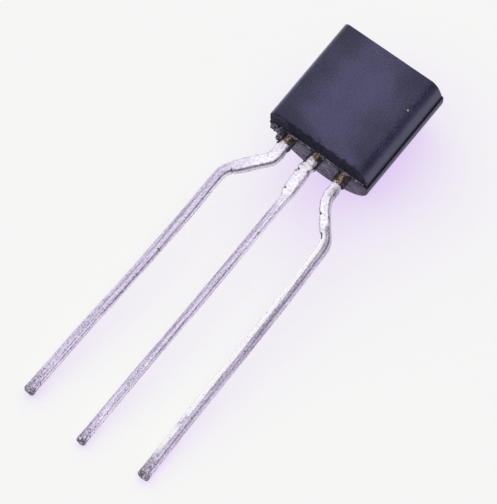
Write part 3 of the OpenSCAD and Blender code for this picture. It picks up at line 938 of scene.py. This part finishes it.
def lead_tree(sizes):
    """A formed lead: a bent path from the body to the tip, with the section swept along it."""
    net, given = geometry_tree("formed lead", sizes)
    spline = net.add("SplineParameter", out=None).outputs["Length"]
    path, ring_at, ring_way, run, left = net.captured(
        lead_path(net, given), ("VECTOR", net.add("InputTangent")),
        ("FLOAT", net.minus(spline, given["Inner Start"])),
        ("FLOAT", net.minus(net.add("SplineLength"), spline)))
    section, section_at = lead_section(net, given)
    flat, thick = list(net.parts(section_at))[:2]
    width = lead_width(net, given, run)
    burr = net.times(net.ramp(left, 0.0, 0.06, 0.72, 1.0), net.ramp(left, 0.1, 0.4, 1.06, 1.0))
    across = net.times(flat, net.math("DIVIDE", width, given["Width"]), burr)
    nicked = lead_nicks(net, given, run, across, width)
    across = net.minus(across, net.times(nicked, given["Nick Side"], given["Nick Depth"]))
    # the shoulders of the root lie a little behind its bare middle
    root = given["Root Length"]
    recess = net.times(
        net.ramp(net.gap(across), 0.15, 0.2, 0.0, 0.07), net.fall(run, net.minus(root, 0.05), root))
    inward = net.ramp(thick, -0.1, 0.1, 1.0, -1.0)
    through = net.times(net.plus(thick, net.times(recess, inward)), burr)
    half_width = net.times(width, 0.5, burr)
    half_depth = net.times(given["Thickness"], 0.5, burr)
    from_corner = net.plus(net.minus(half_width, across), net.plus(through, half_depth))
    placed = twisted_place(net, given, run, ring_at, ring_way, across, through)
    lift = net.ramp(run, 7.0, 13.0, 0.0, -TIP_LIFT)
    placed = net.vector("ADD", placed, net.xyz(lead_sway(net, given, run), lift, 0.0))
    # uneven plating, thicker just below the root
    outside = net.ramp(run, 0.35, 0.7)
    waver = net.times(given["Waver"], outside, net.ramp(run, 2.0, 4.0, 1.0, 0.6))
    rough = net.times(given["Waver"], net.ramp(run, 1.5, 4.0, 1.6, 0.6))
    uneven = net.vector("ADD", net.shake(placed, 2.4, waver), net.shake(placed, 9.0, rough))
    shape = net.add(
        "SetPosition", net.swept(path, section), Position=net.vector("ADD", placed, uneven))
    facts = (run, left, across, through, given["Bright Until"], given["Shade"],
             given["Bare Until"], given["Lit Border"], given["Soft Until"], given["Line Until"],
             nicked, from_corner)
    for name, value in zip(LEAD_FACTS, facts):
        shape = net.add("StoreNamedAttribute", shape, data_type="FLOAT", domain="POINT",
                        Name="lead_" + name, Value=value)
    close_tree(net, shape, given)
    return net.tree


def inner_part(node):
    """The part of a lead that the body holds: a copy of the CAD lead, cut near the lead end."""
    shell = bmesh.new()
    shell.from_mesh(frame["nodes"][node].data)
    bmesh.ops.remove_doubles(shell, verts=shell.verts, dist=WELD * MM)
    cut_at = PACKAGE @ Vector((0, 0, LEAD_END + INNER_CUT))
    upward = (PACKAGE.to_3x3() @ Vector((0, 0, 1))).normalized()
    everything = shell.verts[:] + shell.edges[:] + shell.faces[:]
    cut = bmesh.ops.bisect_plane(
        shell, geom=everything, dist=1e-9, plane_co=cut_at, plane_no=upward, clear_inner=True)
    rim = [g for g in cut["geom_cut"] if isinstance(g, bmesh.types.BMEdge)]
    bmesh.ops.edgenet_fill(shell, edges=rim)
    bmesh.ops.transform(shell, matrix=PACKAGE.inverted(), verts=shell.verts)
    mesh = plain_mesh(node + " inside", shell)
    mesh.materials.append(TIN)
    return mesh


def joined(meshes):
    """One mesh from several, with the attributes that only some of them have."""
    objects = [new_object("part", mesh) for mesh in meshes]
    with bpy.context.temp_override(active_object=objects[0], object=objects[0],
                                   selected_objects=objects, selected_editable_objects=objects):
        bpy.ops.object.join()
    mesh = objects[0].data
    bpy.data.objects.remove(objects[0])
    return mesh


# what tells the leads apart: the left, middle and right one
LEADS = "emitter_lead", "base_lead", "collector_lead"
OWN_SIZES = {
    "Bend Start": (0.68, 0.68, 0.82),
    "Width": (0.39, 0.315, 0.40),
    "Neck Width": (0.49, 0.53, 0.41),
    "Neck End": (2.4, 1.75, 2.9),
    "Neck Shift": (0.0, -0.06, 0.03),
    "Root Shift": (-0.07, -0.05, 0.0),
    "Shift": (-0.012, 0.035, -0.095),
    "Bow": (0.06, 0.012, 0.045),
    "Bow Left": (0.27, -0.9, 0.6),
    "Twist": (0.09, 0.0, -0.18),
    "Twist Start": (5.5, 1.4, 0.5),
    "Twist Run": (3.0, 1.6, 0.6),
    "Bright Until": (2.3, 2.2, 3.0),
    "Shade": (0.93, 0.98, 0.8),
    "Lit Border": (-0.13, -0.15, 0.012),
    "Soft Until": (0.0, 4.8, 0.0),
    "Line Until": (3.0, 0.0, 20.0),
    "Bare Until": (0.36, 0.25, 0.5),
    "Nick Side": (1, -1, -1),
    "Nick At": (2.67, 0.86, 1.83),
    "Nick Reach": (0.04, 0.06, 0.075),
    "Second Nick At": (6.92, 1.73, 2.72),
    "Second Nick Reach": (0.03, 0.06, 0.2),
}


def lead_sizes(which):
    """The sizes of one lead; which is its place in LEADS."""
    side = which - 1
    outer = abs(side)
    shift = BEND_RADIUS * (1 + math.cos(SPLAY) - 2 * math.cos(BEND_ANGLE))
    slant = (FORMED_PITCH - LEAD_PITCH - shift) / math.sin(BEND_ANGLE)
    length = OUTER_LEAD_LENGTH if outer else MIDDLE_LEAD_LENGTH
    sizes = {
        "Side": side or 1, "Pitch": LEAD_PITCH * outer, "Bend Angle": BEND_ANGLE * outer,
        "Bend Radius": BEND_RADIUS, "Slant Length": slant, "Splay": SPLAY * outer,
        "Length": length + TIP_BURR, "Inner Start": INNER_START, "Thickness": LEAD_THICKNESS,
        "Edge Radius": LEAD_EDGE_RADIUS, "Root Width": ROOT_WIDTH, "Root Length": ROOT_LENGTH,
        "Taper Length": TAPER_LENGTH, "Waver": PLATING_WAVER, "Nick Depth": NICK_DEPTH,
    }
    return {**sizes, **{name: values[which] for name, values in OWN_SIZES.items()}}


# ---- the pieces ----

def make_body():
    flash = grow(flash_tree(), FLASH_SIZES, FLASH_RESIN)
    mesh = joined([moulded_body(), flash, gate_stub()])
    finish_piece("moulded_body", mesh, "body", sharp=40)


def make_leads():
    tree = lead_tree(lead_sizes(0))
    for which, node in enumerate(LEADS):
        mesh = joined([grow(tree, lead_sizes(which), TIN), inner_part(node)])
        finish_piece(node.replace("_lead", "_tinned_lead"), mesh, node, sharp=50)


def dress_inner_pieces():
    """The sealed pieces keep their CAD shapes and get their finishes."""
    silicon = plain_finish(
        "silicon", (0.10, 0.11, 0.14), (0.16, 0.17, 0.21), metallic=0.0, rough=0.22, scale=30)
    adhesive = plain_finish(
        "silver-filled adhesive", (0.42, 0.41, 0.39), (0.62, 0.6, 0.57), metallic=0.6, rough=0.5,
        scale=25)
    gold = plain_finish(
        "bond wire gold", (0.75, 0.52, 0.2), (0.9, 0.66, 0.3), metallic=1.0, rough=0.25, scale=40)
    for node, finish in (("chip", silicon), ("chip_attach", adhesive),
                         ("emitter_wire", gold), ("base_wire", gold)):
        materials = frame["nodes"][node].data.materials
        materials.clear()
        materials.append(finish)


make_body()
make_leads()
dress_inner_pieces()


# ---- bench, light and camera ----

# each stage finish: how a shadow changes it, what stays in the deepest shadow, and the plain
# colour of the light that it throws back
PAPER = (0.22, 0.40, 0.02), (0.70, 0.52, 0.895), (0.9, 0.89, 0.92)
RIM = (0.02, 0.02, 0.02), (0.89, 0.89, 0.89), (0.8, 0.8, 0.8)
RIM_DISTANCE = 0.5
RIM_HEIGHT = 0.1
RIM_STEPS = 48

LAMP_SPREAD = math.radians(110)
LAMP_STRENGTH = 2.75
LAMP_DIRECTION = (-0.25, 0.1, 0.95)
ROOM_COLOUR = (0.97, 0.95, 1.0, 1)
ROOM_LIGHT = 0.15

# the camera's lens, and how it is turned and where it stands in the package's own axes
SENSOR_WIDTH = 36.0
LENS_LENGTH = 267.1
SHARP_FROM, SHARP_TO = 0.005, 5.0
CAMERA_RIGHT = (0.77110917, 0.11793168, 0.62568583)
CAMERA_UP = (-0.55079102, -0.3694204, 0.74843692)
CAMERA_PLACE = (44.633, -127.776, -37.386)


def seen_and_lit(name, shade, glow, bounce):
    """A stage finish: its looks to the eye and in reflections, and its plain bounce of light."""
    material, net = new_material(name)
    ray = net.add("LightPath", out=None).outputs
    seen = net.most(
        net.most(ray["Is Camera Ray"], ray["Is Glossy Ray"]), ray["Is Transmission Ray"])
    looks = net.add(
        "AddShader", net.add("BsdfDiffuse", (*shade, 1)), net.add("Emission", (*glow, 1), 1.0))
    both = net.add("MixShader", seen, net.add("BsdfDiffuse", (*bounce, 1)), looks)
    net.add("OutputMaterial", both, out=None)
    return material


def stage_piece(name, points, faces, finish):
    sheet = bpy.data.meshes.new(name)
    sheet.from_pydata(points, [], faces)
    sheet.materials.append(finish)
    piece = new_object(name, sheet)
    piece.location = (0, 0, cad_box[0].z)


def bench():
    """A pale paper floor with a low pale rim far off."""
    size = 2 * RIM_DISTANCE
    stage_piece("bench", [(-size, -size, 0), (size, -size, 0), (size, size, 0), (-size, size, 0)],
                [(0, 1, 2, 3)], seen_and_lit("pale paper", *PAPER))
    turns = [2 * math.pi * k / RIM_STEPS for k in range(RIM_STEPS)]
    points = [(RIM_DISTANCE * math.cos(turn), RIM_DISTANCE * math.sin(turn), z)
              for z in (0, RIM_HEIGHT) for turn in turns]
    walls = [(k, RIM_STEPS + k, RIM_STEPS + (k + 1) % RIM_STEPS, (k + 1) % RIM_STEPS)
             for k in range(RIM_STEPS)]
    stage_piece("backdrop", points, walls, seen_and_lit("pale rim", *RIM))


def overhead_light():
    """One very broad lamp overhead, softer than any shadow edge."""
    lamp = bpy.data.lights.new("overhead diffuser", "SUN")
    lamp.angle = LAMP_SPREAD
    lamp.energy = LAMP_STRENGTH
    holder = new_object("overhead diffuser", lamp)
    holder.rotation_mode = "QUATERNION"
    holder.rotation_quaternion = Vector(LAMP_DIRECTION).to_track_quat("Z", "Y")


def room():
    """The dim room beyond the lamp."""
    world = bpy.data.worlds.new("dim room")
    world.use_nodes = True
    shade = world.node_tree.nodes["Background"]
    shade.inputs["Color"].default_value = ROOM_COLOUR
    shade.inputs["Strength"].default_value = ROOM_LIGHT
    bpy.context.scene.world = world


def camera():
    """Stands well back, above and beside the lead end, with the leads toward the lower left."""
    lens = bpy.data.cameras.new("camera")
    lens.sensor_width = SENSOR_WIDTH
    lens.lens = LENS_LENGTH
    lens.clip_start, lens.clip_end = SHARP_FROM, SHARP_TO
    view = new_object("camera", lens)
    right, up = Vector(CAMERA_RIGHT), Vector(CAMERA_UP)
    stand = Matrix((right, up, right.cross(up))).transposed().to_4x4()
    stand.translation = Vector(CAMERA_PLACE)
    pose = PACKAGE @ stand
    view.matrix_world = Matrix.LocRotScale(pose.to_translation(), pose.to_quaternion(), None)
    bpy.context.scene.camera = view


bench()
overhead_light()
room()
camera()
bpy.context.scene.view_settings.view_transform = "Standard"
